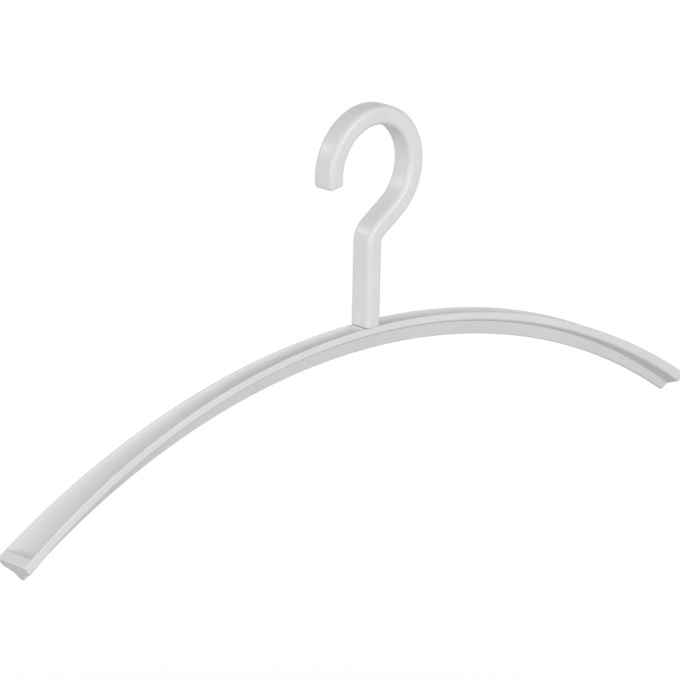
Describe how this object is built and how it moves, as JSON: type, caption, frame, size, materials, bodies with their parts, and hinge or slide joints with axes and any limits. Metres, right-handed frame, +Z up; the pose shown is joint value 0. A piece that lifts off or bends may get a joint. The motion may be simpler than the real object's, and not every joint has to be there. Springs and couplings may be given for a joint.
{
  "type": "coat hanger",
  "caption": "Arched plastic hanger for coats and scarves: a troughed arm with a tapered keel, under a question-mark hook that swivels on a steel pin.",
  "frame": {"origin": "centre of the hook's loop, halfway through the bar's depth", "axes": "+X along the arm, +Y to the back, through the hook's loop, +Z up along the stem"},
  "size_m": [0.45, 0.0198, 0.1897],
  "materials": {
    "white_moulding": "satin",
    "core_steel": "drawn",
    "washer_plastic": "natural",
    "bush_brass": "turned"
  },
  "bodies": {
    "hook": {"hook": "white_moulding", "hook_core": "core_steel", "retaining_ring": "core_steel"},
    "arm": {"arm": "white_moulding", "swivel_bush": "bush_brass", "thrust_washer": "washer_plastic"}
  },
  "joints": [
    {"name": "hook_swivel", "type": "hinge", "parent": "hook", "child": "arm", "pos_m": [0, 0, -0.07895], "axis": [0, 0, 1], "continuous": true}
  ]
}
